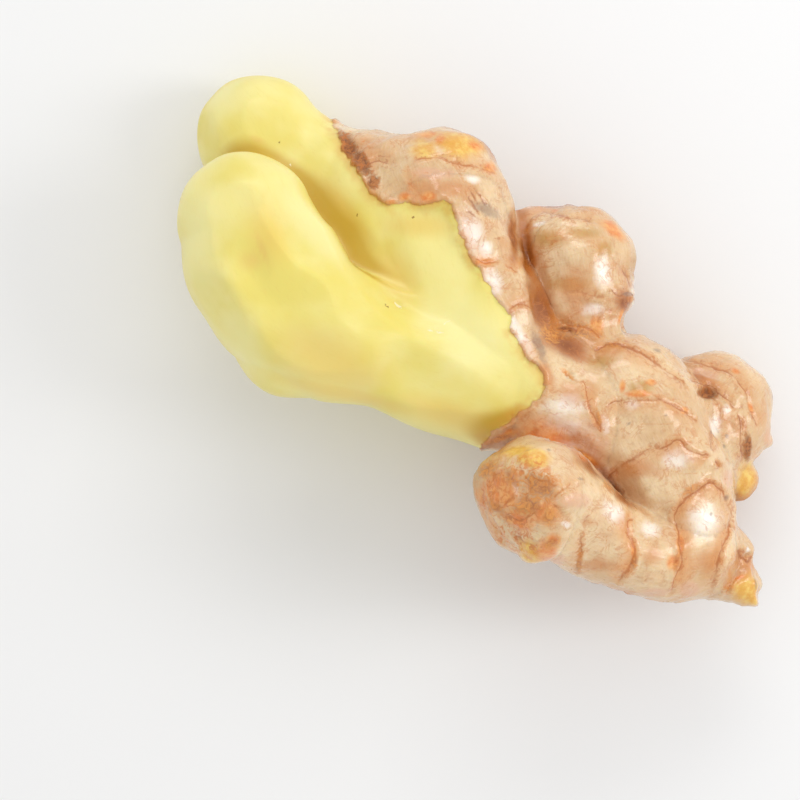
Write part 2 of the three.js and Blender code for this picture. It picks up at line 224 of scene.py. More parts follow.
# Marks in the picture: the middle, half the length across and half the length down, in its pixels, and
# a clockwise turn in degrees.
MARKS = {
    "orange": [
        (612, 231, 19, 7, 42), (619, 318, 3, 8, 8), (651, 382, 6, 4, 0), (672, 562, 9, 9, 30),
        (679, 545, 4, 14, 0), (632, 550, 3, 10, 0), (424, 134, 14, 4, 0), (440, 140, 6, 7, 0),
        (474, 149, 8, 4, 25), (489, 169, 7, 8, 50), (405, 197, 8, 6, 0), (429, 197, 9, 6, 0),
        (393, 203, 6, 3, 0), (555, 211, 5, 3, 0), (739, 575, 8, 3, 15), (684, 411, 5, 4, 0),
        (506, 434, 20, 5, -20), (484, 262, 12, 4, 0), (552, 538, 9, 8, 0), (516, 472, 3, 9, -30),
        (494, 487, 5, 14, 10), (586, 458, 13, 5, 30), (757, 455, 8, 3, 0), (735, 372, 6, 3, 40),
        (751, 408, 3, 8, -15), (567, 373, 13, 3, 38), (500, 492, 22, 26, 8), (545, 512, 16, 14, 20),
        (596, 327, 8, 10, 0), (637, 394, 16, 4, 0), (622, 387, 4, 8, 0), (520, 520, 22, 10, 30),
        (548, 545, 12, 14, 0),
    ],
    "rust": [
        (576, 331, 34, 10, 8), (550, 335, 14, 11, 30), (540, 487, 26, 16, 20), (530, 504, 22, 9, 20),
        (549, 516, 9, 10, 0), (716, 464, 4, 6, -20), (608, 487, 5, 10, -30), (570, 376, 10, 2, 38),
        (514, 478, 8, 14, -30), (498, 506, 14, 6, 30), (552, 540, 10, 6, -20), (628, 300, 7, 5, -30),
        (676, 560, 4, 16, 10), (490, 470, 8, 12, 40), (572, 448, 20, 4, 20), (500, 437, 14, 4, -24),
        (580, 560, 4, 14, 0), (633, 560, 4, 12, 0), (729, 585, 5, 9, 0), (690, 490, 12, 4, -30),
        (599, 420, 3, 14, -10), (613, 345, 12, 4, 0),
    ],
    "scab": [
        (347, 147, 11, 17, -35), (362, 163, 9, 20, -30), (374, 182, 7, 9, 0), (707, 394, 13, 7, 12),
        (745, 446, 4, 16, 0), (558, 203, 4, 3, 0), (566, 330, 12, 4, 0),
    ],
    "tint": [
        (706, 560, 18, 20, 0), (650, 555, 16, 12, 0), (360, 152, 24, 30, -30), (571, 392, 24, 16, 30),
        (640, 470, 26, 12, 0), (560, 440, 34, 8, -6), (590, 345, 34, 12, 10), (440, 190, 50, 14, 0),
        (515, 262, 18, 8, 20), (546, 375, 10, 26, -30), (600, 565, 20, 10, 0), (740, 577, 28, 20, 20),
        (706, 385, 20, 10, 20), (575, 290, 26, 34, 0), (450, 140, 50, 14, 10),
    ],
    # Amber marks darken the creases by the knob and at the finger roots: painted shade, on skin that is
    # partly amber of its own.
    "amber_and_shade": [
        (527, 250, 11, 40, -8), (541, 304, 16, 40, -14), (564, 346, 30, 12, 24), (590, 464, 24, 9, 38),
        (478, 450, 14, 16, 0), (560, 200, 20, 6, 0), (512, 238, 6, 30, 0), (622, 500, 18, 5, 40),
        (700, 380, 10, 5, 20), (622, 302, 8, 13, 0), (515, 205, 6, 20, -15),
    ],
    "yellow": [
        (455, 146, 30, 14, 12), (425, 150, 18, 12, 0), (533, 460, 19, 9, 5), (531, 549, 14, 15, 0),
        (746, 478, 13, 20, 10), (748, 590, 22, 17, 20), (518, 452, 18, 6, -5),
    ],
    # Pale marks are painted highlights: near-white patches on the skin's bumps.
    "pale_and_highlight": [
        (470, 232, 15, 26, -10), (484, 250, 8, 14, -10), (492, 281, 11, 17, -30),
        (519, 335, 8, 30, -30), (436, 150, 12, 6, 0), (602, 272, 10, 18, 0), (593, 310, 16, 7, 0),
        (604, 425, 6, 10, 0), (632, 405, 8, 6, 0), (676, 458, 18, 12, 0), (702, 520, 20, 22, 0),
        (650, 529, 12, 10, 20), (613, 514, 18, 10, 40), (716, 425, 7, 14, 0), (725, 410, 5, 6, 0),
        (566, 406, 26, 10, 0), (566, 524, 7, 4, 30), (747, 550, 4, 3, 0), (516, 485, 3, 14, -8),
        (540, 226, 9, 3, -10), (472, 180, 9, 5, 20), (568, 400, 14, 10, 0),
    ],
    "pink": [
        (574, 500, 17, 10, 0), (552, 556, 17, 9, 0), (706, 376, 16, 8, 10), (433, 174, 24, 8, 0),
        (766, 440, 7, 16, 0), (655, 590, 20, 6, 0), (690, 588, 14, 8, 0), (727, 480, 8, 12, 0),
    ],
    # Grey marks are small dark spots, and the larger ones are painted shade on flaps of skin.
    "grey_and_shade": [
        (577, 480, 4, 2, 0), (487, 210, 18, 7, 28), (538, 347, 6, 22, -18), (709, 514, 2, 3, 0),
        (548, 453, 3, 2, 0), (712, 432, 3, 3, 0), (726, 436, 2, 3, 0), (723, 447, 2, 3, 0),
        (725, 498, 2, 4, 0), (628, 424, 4, 2, -30), (665, 416, 3, 2, 0), (757, 583, 2, 6, 0),
        (655, 352, 5, 2, 30), (625, 295, 6, 3, 0),
    ],
    "olive": [
        (568, 284, 26, 9, 0), (548, 240, 20, 9, 0), (585, 233, 18, 7, 0), (604, 250, 10, 10, 0),
        (640, 388, 14, 9, 0), (525, 510, 14, 6, 0), (600, 362, 14, 8, 0),
    ],
    "scar": [(517, 492, 44, 40, 10), (520, 535, 30, 26, 0), (357, 152, 16, 26, -30)],
    "blush": [(258, 140, 11, 5, 20), (250, 260, 15, 14, 0), (262, 250, 5, 24, -20)],
    # Cream marks are painted light: paler flesh along the lit left edges and the crest of the front
    # finger.
    "cream_light": [
        (198, 245, 22, 80, 0), (244, 345, 22, 40, -25), (222, 96, 26, 18, -30), (322, 232, 12, 70, -38),
        (470, 330, 40, 60, -30),
    ],
    # Ochre marks are warmer flesh, and painted shade in the valley beside the crest and along the lower
    # edge.
    "ochre_and_shade": [
        (330, 360, 70, 34, 20), (395, 275, 22, 40, -35), (350, 395, 90, 10, 14), (450, 415, 60, 16, 16),
        (270, 235, 26, 40, -20), (345, 210, 12, 50, -38), (420, 225, 40, 14, 0),
    ],
    "fleck": [
        (357, 215, 2, 2, 0), (413, 217, 2, 1.5, 0), (280, 141, 1.5, 1.5, 0), (386, 305, 4, 1.5, 45),
    ],
    "scratch": [
        (436, 331, 10, 1.5, 12), (398, 303, 7, 1.5, 40), (290, 162, 6, 1.2, 60),
        (447, 322, 5, 1.2, -30),
    ],
}
# How many marks of each kind are strewn over the skin that the picture doesn't show, and their reach.
STREWN = {
    "orange": (9, 7), "rust": (14, 6), "scab": (8, 4), "tint": (12, 12), "amber_and_shade": (6, 9), "pale_and_highlight": (14, 7),
    "pink": (8, 9), "olive": (5, 8), "grey_and_shade": (16, 1.6),
}

# Dents and swellings in the picture: a mark's five numbers, then millimetres outwards.
DENTS = [
    (707, 394, 15, 8, 12, -1.9), (717, 430, 9, 24, -15, -0.7), (250, 262, 26, 34, -20, -0.7),
    (398, 303, 8, 4, 40, -0.8), (436, 330, 10, 4, 12, -0.5), (350, 146, 9, 12, -35, -0.8),
    (748, 555, 7, 4, 0, -1.2), (744, 548, 8, 5, 10, 0.8), (577, 481, 8, 6, 0, 0.6),
    (705, 524, 22, 26, 0, 0.7), (572, 501, 20, 13, 0, 0.6), (503, 488, 13, 17, 0, -0.5),
    (535, 493, 22, 20, 20, -0.6), (530, 550, 16, 16, 0, 0.4), (533, 458, 20, 10, 5, 0.4),
    (570, 376, 12, 3, 38, -0.8), (771, 443, 12, 12, 30, 1.9), (759, 583, 8, 8, 0, 1.0),
    (756, 603, 9, 9, 0, 1.1), (535, 300, 9, 34, -14, -1.6), (527, 562, 20, 12, 0, 1.0),
    (632, 322, 15, 18, 0, -3.4), (527, 255, 7, 26, -8, -1.2),
]

# The knife's flats in the flesh: the place in the picture, the way that the flat faces, how deep it goes
# and how far it reaches, in millimetres.
CUTS = [
    ((228, 205), (-0.14, 0.12, 0.98), 1.1, 24),
    ((318, 318), (0.1, -0.28, 0.95), 1.3, 26),
    ((213, 318), (-0.6, -0.36, 0.71), 0.9, 15),
    ((322, 226), (0.3, 0.24, 0.92), 1.0, 16),
    ((262, 112), (0.16, 0.22, 0.96), 1.0, 22),
    ((425, 262), (-0.05, 0.1, 0.99), 0.9, 22),
    ((455, 385), (0.05, -0.3, 0.95), 1.2, 22),
    ((205, 142), (-0.85, 0.0, 0.52), 0.9, 15),
    ((300, 260), (0.02, -0.06, 1.0), 0.8, 20),
]
# The flats where the small stump broke off, in the same measures.
BREAKS = [
    ((757, 592), (0.97, 0.1, 0.2), 0.2, 9),
    ((742, 582), (0.1, 0.5, 0.86), 0.7, 8),
]

# How softly lobes run into each other, and the groups whose lobes run into each other more softly.
BLEND = 1.1
GROUPS = [(["mother", "top_stub", "web", "back_finger"], 5.5), (["front_finger", "finger_corner"], 4.5)]
# The fold between the front finger and the flesh behind it fades out round this place, in spine
# measures, over this reach, because lobes run into each other this much more softly there.
FOLD_END = np.array([-10.0, -2.0])
FOLD_REACH = 10.0
FOLD_BLEND = 2.6
# The first mesh's cell, how finely each spine is sampled, and the most triangles that the piece may have.
CELL = 0.92
STATION_STEP = 0.8
TRIANGLES = 190000
# The slow swelling that the solids have too, and how much of it peeling leaves.
LUMP_HEIGHT = 0.7
LUMP_LENGTH = 21
LUMP_LEAN = 0.5
LUMP_START = 1.3
PEELED_LUMP = 0.4
# How far from the surface the hand is felt for, to find where it is hollow.
HOLLOW_REACHES = (4.0, 9.0, 16.0)
# Each lobe's fibres are read from another part of the noise, this far from the last one's.
GRAIN_STEP = 37.0


def unit(v):
    return v / np.maximum(np.linalg.norm(v, axis=-1, keepdims=True), 1e-9)


def smooth(value, low, high):
    """0 below low and 1 above high, with a smooth ramp between them."""
    t = np.clip((value - low) / (high - low), 0, 1)
    return t * t * (3 - 2 * t)


def bump(value, width):
    """1 at 0, falling to 0 over about twice the width."""
    return np.exp(-((value / width) ** 2))


def spline(points, t):
    """Points on a centripetal Catmull-Rom spline at t, from 0 to 1."""
    points = np.asarray(points, float)
    place = np.clip(t, 0, 1) * (len(points) - 1)
    i = np.minimum(place.astype(int), len(points) - 2)
    w = (place - i)[:, None]
    ends = np.vstack([2 * points[0] - points[1], points, 2 * points[-1] - points[-2]])
    p0, p1, p2, p3 = (ends[i + k] for k in range(4))
    spans = (p1 - p0, p2 - p1, p3 - p2)
    d0, d1, d2 = (np.sqrt(np.linalg.norm(span, axis=1, keepdims=True)) for span in spans)
    m1 = ((p1 - p0) / d0 - (p2 - p0) / (d0 + d1) + (p2 - p1) / d1) * d1
    m2 = ((p2 - p1) / d1 - (p3 - p1) / (d1 + d2) + (p3 - p2) / d2) * d1
    return p1 + m1 * w + (-3 * p1 + 3 * p2 - 2 * m1 - m2) * w**2 + (2 * p1 - 2 * p2 + m1 + m2) * w**3


def picture(p):
    """Where points show in the picture, in pixels from its upper left corner."""
    scale = (CAMERA[2] - MIDDLE_HEIGHT) / (CAMERA[2] - p[:, 2:]) / PIXEL
    return PICTURE / 2 + (p[:, :2] - CAMERA[:2]) * scale * (1, -1)


def beside_path(q, path):
    """Signed distance from a path, above 0 on the right of someone walking it, and the share walked."""
    best = np.full(len(q), np.inf)
    side = np.ones(len(q))
    walked = np.zeros(len(q))
    for i, (a, b) in enumerate(zip(path[:-1], path[1:])):
        d = b - a
        t = np.clip(((q - a) @ d) / (d @ d), 0, 1)
        away = np.linalg.norm(q - a - t[:, None] * d, axis=1)
        closer = away < best
        best = np.where(closer, away, best)
        side = np.where(closer, np.sign(d[0] * (q[:, 1] - a[1]) - d[1] * (q[:, 0] - a[0])), side)
        walked = np.where(closer, (i + t) / (len(path) - 1), walked)
    return best * side, walked


class Waves:
    """Smooth noise from about -1 to 1: waves in many directions, about `size` mm from crest to crest."""

    def __init__(self, size, count=28):
        way = unit(RNG.normal(size=(count, 3)))
        self.push = way * (2 * math.pi / size) * RNG.uniform(0.6, 1.5, (count, 1))
        self.phase = RNG.uniform(0, 2 * math.pi, count)

    def __call__(self, p):
        return np.sin(p @ self.push.T + self.phase).sum(1) / math.sqrt(len(self.phase)) * 0.7


class Lobe:
    """One lobe: stations along its spine, each with a radius and its cross directions."""

    def __init__(self, spine, depth, tip, rings, up=(0, 0, 1)):
        points = np.array(spine, float)
        dense = np.linspace(0, 1, 400)
        path = spline(points[:, :3], dense)
        radii = spline(np.column_stack([np.arange(len(points)), points[:, 3]]), dense)[:, 1]
        run = np.r_[0, np.cumsum(np.linalg.norm(np.diff(path, axis=0), axis=1))]
        self.length = run[-1]
        self.place = np.linspace(0, self.length, int(self.length / STATION_STEP) + 2)
        self.centre = np.column_stack([np.interp(self.place, run, c) for c in path.T]) + HAND_SHIFT
        self.radius = np.interp(self.place, run, radii)
        self.along = unit(np.gradient(self.centre, axis=0))
        self.across = unit(np.cross(self.along, up))
        self.over = np.cross(self.across, self.along)
        self.depth, self.tip = depth, tip
        self.rings = [r * self.length for r in rings]

    def measure(self, p):
        """Each point's distance from the surface, the way out, how far along it is, angle and radius."""
        near = ((p**2).sum(1)[:, None] - 2 * p @ self.centre.T + (self.centre**2).sum(1)).argmin(1)
        s = self.place[near] + np.einsum("ij,ij->i", p - self.centre[near], self.along[near])
        held = np.clip(s, 0, self.length)
        station = held / self.place[1]
        low = np.minimum(station.astype(int), len(self.place) - 2)
        share = (station - low)[:, None]
        centre, along, across, over = (
            v[low] * (1 - share) + v[low + 1] * share
            for v in (self.centre, self.along, self.across, self.over)
        )
        radius = np.interp(held, self.place, self.radius)
        gap = p - centre
        u, w, e = (np.einsum("ij,ij->i", gap, v) for v in (across, over, along))
        e = np.where(s >= self.length, np.maximum(e, 0), np.where(s <= 0, np.minimum(e, 0), 0))
        q = np.sqrt(u**2 + (w / self.depth) ** 2 + (e / self.tip) ** 2) + 1e-9
        out = (
            u[:, None] * across + (w / self.depth**2)[:, None] * over + (e / self.tip**2)[:, None] * along
        ) / q[:, None]
        steep = np.linalg.norm(out, axis=1)
        return (q - radius) / steep, out / steep[:, None], held + e, np.arctan2(w, u), radius

    def past_ring(self, s, angle, radius):
        """How far past its nearest ring scar each point is."""
        past = np.full(len(s), 99.0)
        for ring in self.rings:
            gap = s - ring - 0.1 * radius * np.sin(3 * angle + 5 * ring / self.length)
            past = np.where(np.abs(gap) < np.abs(past), gap, past)
        return past


HAND = {name: Lobe(**facts) for name, facts in LOBES.items()}
NAMES = list(HAND)


def blended(far, out, blend):
    """Distances and ways out run into each other where they meet at an angle, with each one's share."""
    least = far.min(1, keepdims=True)
    weight = np.exp(-(far - least) / blend)
    total = weight.sum(1, keepdims=True)
    share = weight / total
    way = (share[:, :, None] * out).sum(1)
    angled = np.clip(3 * (1 - (way**2).sum(1, keepdims=True)), 0, 1)
    return (least - blend * np.log(total) * angled)[:, 0], unit(way), share


def hand_field(p):
    """Distance from the blended hand, the way out, and each lobe's share of the blend."""
    far = np.empty((len(p), len(NAMES)))
    out = np.empty((len(p), len(NAMES), 3))
    for i, lobe in enumerate(HAND.values()):
        far[:, i], out[:, i] = lobe.measure(p)[:2]
    from_fold_end = np.linalg.norm(p[:, :2] - HAND_SHIFT[:2] - FOLD_END, axis=1)
    blend = BLEND + FOLD_BLEND * bump(from_fold_end, FOLD_REACH)[:, None]
    rest = [i for i, name in enumerate(NAMES) if not any(name in group for group, _ in GROUPS)]
    members = [[NAMES.index(name) for name in group] for group, _ in GROUPS]
    met = [
        blended(far[:, group], out[:, group], softness)
        for group, (_, softness) in zip(members, GROUPS)
    ]
    all_far = np.column_stack([far[:, rest]] + [group_far for group_far, _, _ in met])
    all_out = np.concatenate([out[:, rest]] + [group_out[:, None] for _, group_out, _ in met], axis=1)
    whole_far, whole_out, whole_share = blended(all_far, all_out, blend)
    share = np.zeros_like(far)
    share[:, rest] = whole_share[:, :len(rest)]
    for k, (group, (_, _, inner)) in enumerate(zip(members, met)):
        share[:, group] = whole_share[:, len(rest) + k, None] * inner
    return whole_far, whole_out, share


def settled(p, steps):
    """Points moved onto the blended hand."""
    for _ in range(steps):
        far, out, _ = hand_field(p)
        p = p - np.clip(far, -1.5, 1.5)[:, None] * out
    return p


def points_of(mesh):
    points = np.empty(len(mesh.vertices) * 3, np.float32)
    mesh.vertices.foreach_get("co", points)
    return points.reshape(-1, 3).astype(float) / MM


def place_points(mesh, p):
    mesh.vertices.foreach_set("co", (p * MM).astype(np.float32).ravel())
    mesh.update()


def relaxed(mesh, values, steps):
    """Each point's value drawn towards those of its neighbours."""
    ends = np.empty(len(mesh.edges) * 2, np.int32)
    mesh.edges.foreach_get("vertices", ends)
    a, b = ends.reshape(-1, 2).T
    count = len(values)
    degree = np.bincount(ends, minlength=count)
    for _ in range(steps):
        total = np.bincount(a, values[b], count) + np.bincount(b, values[a], count)
        values = 0.4 * values + 0.6 * total / degree
    return values


def even_mesh():
    """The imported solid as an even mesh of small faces."""
    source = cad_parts["ginger_root"]
    copy = bpy.data.objects.new("even_work", source.data.copy())
    bpy.context.scene.collection.objects.link(copy)
    remesh = copy.modifiers.new("remesh", "REMESH")
    remesh.mode = "VOXEL"
    remesh.voxel_size = CELL * MM
    mesh = bpy.data.meshes.new_from_object(copy.evaluated_get(bpy.context.evaluated_depsgraph_get()))
    bpy.data.objects.remove(copy)
    return mesh


def refine(mesh, wish):
    """Cuts the faces that most wish for it into quarters, as many as the piece's triangles allow."""
    corners = np.empty(len(mesh.loops), np.int32)
    mesh.loops.foreach_get("vertex_index", corners)
    starts = np.empty(len(mesh.polygons), np.int32)
    mesh.polygons.foreach_get("loop_start", starts)
    score = np.add.reduceat(wish[corners], starts)
    room = (TRIANGLES - 2 * len(starts)) // 7
    chosen = np.argsort(-score, kind="stable")[:min(room, int((score > 0.6).sum()))]
    work = bmesh.new()
    work.from_mesh(mesh)
    work.faces.ensure_lookup_table()
    edges = dict.fromkeys(edge for i in chosen for edge in work.faces[i].edges)
    bmesh.ops.subdivide_edges(work, edges=list(edges), cuts=1, use_grid_fill=True)
    work.to_mesh(mesh)
    work.free()
    mesh.update()


def seen_share(mesh, p, out):
    """1 where the camera sees the surface, falling to 0 where it turns away or is covered."""
    way = unit(CAMERA - p)
    tree = BVHTree.FromPolygons(p.tolist(), [tuple(face.vertices) for face in mesh.polygons])
    seen = smooth((out * way).sum(1), 0.02, 0.25)
    for i in np.flatnonzero(seen > 0):
        if tree.ray_cast(Vector(p[i] + out[i] * 0.5), Vector(way[i]))[0] is not None:
            seen[i] = 0
    return relaxed(mesh, seen, 4)


def peel_distance(q, share):
    """Millimetres from the peel edge: above 0 under the skin, below 0 where it is peeled."""
    away, _ = beside_path(q, np.array(PEEL_EDGE, float))
    kept = sum(share[:, NAMES.index(name)] for name in SKINNED)
    return np.maximum(-away * PIXEL, 12 * (kept - 0.5))


def past_line(q):
    """How far past the nearest drawn line each point of the picture is, with the line's ink and hue."""
    past = np.full(len(q), 99.0)
    second = np.full(len(q), 99.0)
    ink = np.zeros(len(q))
    hue = np.zeros(len(q))
    for strength, orange, points in LINES.values():
        path = spline(points, np.linspace(0, 1, 5 * len(points)))
        near = np.flatnonzero(((q > path.min(0) - LINE_REACH) & (q < path.max(0) + LINE_REACH)).all(1))
        away, walked = beside_path(q[near], path)
        away = away * PIXEL
        second[near] = np.minimum(second[near], np.maximum(np.abs(away), np.abs(past[near])))
        closer = np.abs(away) < np.abs(past[near])
        near, away, walked = near[closer], away[closer], walked[closer]
        past[near] = away
        ink[near] = strength * smooth(np.minimum(walked, 1 - walked), -0.04, 0.08)
        hue[near] = orange
    # Halfway between two lines the side changes, so no ink is left there.
    return past, ink * smooth(second - np.abs(past), 0.2, 1.4) * smooth(np.abs(past), 8, 5), hue


def inside_mark(q, x, y, across, down, turn):
    """1 in the middle of a mark, 0 at its edge and below 0 past it."""
    c, s = math.cos(math.radians(turn)), math.sin(math.radians(turn))
    u, v = (q - (x, y)).T
    return 1 - np.hypot((u * c + v * s) / across, (v * c - u * s) / down)


def flattened(p, flats, allowed):
    """The surface with its flats."""
    q = picture(p)
    for spot, facing, depth, reach in flats:
        over = np.linalg.norm(q - spot, axis=1) < 5
        centre = p[over][np.argsort(p[over, 2])[-1]]
        facing = unit(np.array(facing))
        proud = (p - centre) @ facing + depth
        lost = 0.5 * (proud + np.sqrt(proud**2 + 0.5)) - 0.3
        near = smooth(np.linalg.norm(p - centre, axis=1), reach, 0.5 * reach) * allowed
        p = p - (np.maximum(lost, 0) * near)[:, None] * facing
    return p


def lobe_places(p, share):
    """How far past its own lobe's nearest ring each point is, and its place in that lobe's measures."""
    past = np.zeros(len(p))
    grain = np.zeros((len(p), 3))
    for i, lobe in enumerate(HAND.values()):
        _, _, s, angle, radius = lobe.measure(p)
        lead = share[:, i] >= share.max(1)
        past[lead] = lobe.past_ring(s, angle, radius)[lead]
        local = np.column_stack([radius * np.cos(angle), radius * np.sin(angle), s])
        grain[lead] = (local + GRAIN_STEP * i)[lead]
    return past, grain


def all_marks(p, q, seen, peel):
    """How far inside a mark each point is, kind by kind: placed where it is seen, strewn elsewhere."""
    marks = {}
    strewn_over = np.flatnonzero((seen < 0.1) & (peel > 4))
    for kind, spots in MARKS.items():
        inside = np.full(len(p), -1.0)
        for spot in spots:
            inside = np.maximum(inside, inside_mark(q, *spot))
        inside = np.maximum(inside * seen + seen - 1, -1)
        count, reach = STREWN.get(kind, (0, 1))
        for centre in p[RNG.choice(strewn_over, count)]:
            size = reach * RNG.uniform(0.6, 1.3)
            inside = np.maximum(inside, 1 - np.linalg.norm(p - centre, axis=1) / size)
        marks[kind] = inside
    return marks


def lumps(p):
    """The slow swelling's height."""
    k = 2 * math.pi / LUMP_LENGTH
    x, y, z = (p - HAND_SHIFT).T
    return LUMP_HEIGHT * np.sin(k * (x + LUMP_LEAN * z)) * np.sin(k * (y - LUMP_LEAN * z) + LUMP_START)


def hollowness(p, out):
    """0 on open ground, rising towards 1 where other parts of the hand stand close over it."""
    hollow = np.zeros(len(p))
    for reach in HOLLOW_REACHES:
        room, _, _ = hand_field(p + out * reach)
        hollow += np.clip(1 - room / reach, 0, 1) / len(HOLLOW_REACHES)
    return hollow


def dressed_hand():
    """The blended hand with its relief, and what its material follows, point by point."""
    mesh = even_mesh()
    p = settled(points_of(mesh), 5)
    _, out, share = hand_field(p)
    q = picture(p)
    past, ink, _ = past_line(q)
    face = inside_mark(q, *MARKS["scar"][0])
    peel = peel_distance(q, share)
    wish = ink * bump(past, 2.2) + 0.7 * bump(peel, 1.3)
    wish += 0.8 * smooth(face, -0.1, 0.2) + 0.1 * smooth(peel, 0, 2)
    place_points(mesh, p)
    refine(mesh, wish * (0.15 + 0.85 * seen_share(mesh, p, out)))

    p = settled(points_of(mesh), 3)
    _, out, share = hand_field(p)
    place_points(mesh, p)
    seen = seen_share(mesh, p, out)
    q = picture(p)

    slow, small, fine = Waves(11), Waves(4.5), Waves(1.9)
    peel = peel_distance(q, share) + 0.55 * small(p + 40) + 0.16 * fine(p)
    skin = smooth(peel, -0.4, 0.4)

    # Lines are drawn where the picture shows the surface, and are the lobes' own rings elsewhere.
    drawn_past, drawn_ink, drawn_hue = past_line(q)
    drawn_past = drawn_past + 0.3 * small(p + 70) + 0.14 * fine(p + 20)
    ring_past, grain = lobe_places(p, share)
    ring_past = ring_past - 0.77 * slow(p) - 0.35 * small(p) - 0.28 * fine(p)
    shown = seen > 0.5
    past = np.where(shown, drawn_past, ring_past)
    ring_ink = 0.8 * smooth(share.max(1), 0.5, 0.8) * smooth(np.abs(ring_past), 5, 3)
    ink = np.where(shown, drawn_ink, ring_ink) * smooth(np.abs(seen - 0.5), 0.0, 0.25)
    ink *= 0.55 + 0.45 * smooth(slow(p + 90), -0.5, 0.3)
    hue = np.where(shown, drawn_hue, 0.5 + 0.4 * slow(p + 60))
    marks = all_marks(p, q, seen, peel)

    # The skin stands over the flesh, and is rougher on scabs and scars.
    rough = smooth(np.maximum(marks["scab"], marks["scar"]), -0.1, 0.3)
    skin_relief = 0.45 + 0.16 * small(p) + 0.06 * fine(p)
    skin_relief += rough * (0.3 * np.abs(fine(p + 30)) + 0.15 * small(p + 11))
    # A line has a low lip on its older side, a groove, and a wide swelling on its newer side.
    lip, groove, swelling = bump(past + 1.0, 0.9), bump(past - 0.1, 0.5), bump(past - 3.0, 2.4)
    skin_relief += ink * (0.35 * lip - 0.4 * groove + 0.3 * swelling)
    # The skin curls up a little along the peel edge.
    skin_relief += 0.4 * bump(peel - 0.8, 0.7)
    relief = lumps(p) * (PEELED_LUMP + (1 - PEELED_LUMP) * skin)
    relief += skin * skin_relief + (1 - skin) * 0.1 * slow(p + 15)
    for *spot, height in DENTS:
        relief += height * smooth(inside_mark(q, *spot), 0, 0.8) * smooth(out[:, 2], -0.6, -0.1)

    # The material darkens the colour where the hand is hollow: painted shade.
    hollow = hollowness(p, out)
    p = flattened(flattened(p, CUTS, smooth(peel, 0, -2.5)), BREAKS, 1.0) + out * relief[:, None]
    p[:, 2] = np.maximum(p[:, 2], 0)
    marks.update(peel=peel, past=past, ink=ink, hue=hue, hollow=hollow)
    return p, mesh, marks, grain


def write_piece(name, p, mesh, marks, grain):
    """The mesh as a piece of the scene, with its marks as attributes."""
    mesh.name = name
    place_points(mesh, p)
    mesh.materials.clear()
    for key, values in marks.items():
        mesh.attributes.new(key, "FLOAT", "POINT").data.foreach_set("value", values.astype(np.float32))
    lobe_place = mesh.attributes.new("grain", "FLOAT_VECTOR", "POINT")
    lobe_place.data.foreach_set("vector", grain.astype(np.float32).ravel())
    mesh.shade_smooth()
    mesh.update()
    piece = bpy.data.objects.new(name, mesh)
    bpy.context.scene.collection.objects.link(piece)
    return piece


class Nodes:
    """A material's node tree, built by short calls."""

    def __init__(self, name):
        self.material = bpy.data.materials.new(name)
        self.material.use_nodes = True
        self.tree = self.material.node_tree
        self.shader = self.tree.nodes["Principled BSDF"]

    def add(self, kind, _out=0, **inputs):
        """Adds a node: lower-case names set its properties, names with a capital its inputs."""
        node = self.tree.nodes.new("ShaderNode" + kind)
        for key, value in inputs.items():
            if key[0].islower():
                setattr(node, key, value)
        for key, value in inputs.items():
            if not key[0].islower():
                numbered = key[0] == "I" and key[1:].isdigit()
                self.put(node.inputs[int(key[1:]) if numbered else key], value)
        return node.outputs[_out]

    def put(self, socket, value):
        if isinstance(value, bpy.types.NodeSocket):
            self.tree.links.new(value, socket)
        elif isinstance(value, str):
            socket.default_value = rgb(value)
        else:
            socket.default_value = value

    def mark(self, name):
        return self.add("Attribute", _out=2, attribute_type="GEOMETRY", attribute_name=name)

    def math(self, operation, a, b=0.0, c=0.0, clamp=False):
        return self.add("Math", operation=operation, use_clamp=clamp, I0=a, I1=b, I2=c)

    def times(self, *factors):
        product = factors[0]
        for factor in factors[1:]:
            product = self.math("MULTIPLY", product, factor)
        return product

    def ragged(self, value, noise, amount):
        """The value pushed up and down by a noise."""
        return self.math("MULTIPLY_ADD", self.math("SUBTRACT", noise, 0.5), amount, value)

    def ramp(self, value, low, high, to_low=0.0, to_high=1.0):
        return self.add(
            "MapRange", interpolation_type="SMOOTHSTEP",
            I0=value, I1=low, I2=high, I3=to_low, I4=to_high,
        )

    def noise(self, place, scale, detail=2.0, rough=0.5, warp=0.0):
        return self.add(
            "TexNoise", Vector=place, Scale=scale, Detail=detail, Roughness=rough, Distortion=warp,
        )

    def mix(self, share, a, b, blend="MIX"):
        node = self.tree.nodes.new("ShaderNodeMix")
        node.data_type = "RGBA"
        node.blend_type = blend
        self.put(node.inputs[0], share)
        self.put(node.inputs[6], a)
        self.put(node.inputs[7], b)
        return node.outputs[2]


def rgb(code):
    """A linear colour from six hex digits as seen on a screen."""
    parts = [int(code[i:i + 2], 16) / 255 for i in (0, 2, 4)]
    return [c / 12.92 if c <= 0.04045 else ((c + 0.055) / 1.055) ** 2.4 for c in parts] + [1.0]


